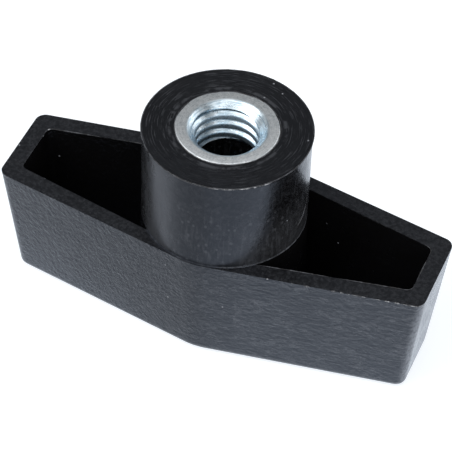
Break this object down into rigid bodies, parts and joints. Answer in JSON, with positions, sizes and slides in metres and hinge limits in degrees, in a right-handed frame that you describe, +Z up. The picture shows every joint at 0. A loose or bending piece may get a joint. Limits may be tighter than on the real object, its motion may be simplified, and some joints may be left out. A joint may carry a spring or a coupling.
{
  "type": "hand knob",
  "caption": "Black moulded T-shaped hand knob: a long six-sided hollow grip with a round hub that holds a zinc-plated threaded insert.",
  "frame": {"origin": "middle of the grip face, which the knob rests on, on the hub's axis", "axes": "+Z up the hub's axis towards the insert's mouth, +X along the grip, +Y across it"},
  "size_m": [0.0484, 0.0182, 0.0265],
  "materials": {
    "black_plastic": "black glass-filled plastic, as moulded, with a fine grain on the sides and a flat rim",
    "zinc_steel": "bright zinc plate on turned steel, satin on the ring face and shiny in the thread"
  },
  "bodies": {
    "root": {"knob_body": "black_plastic", "threaded_insert": "zinc_steel"}
  },
  "joints": []
}
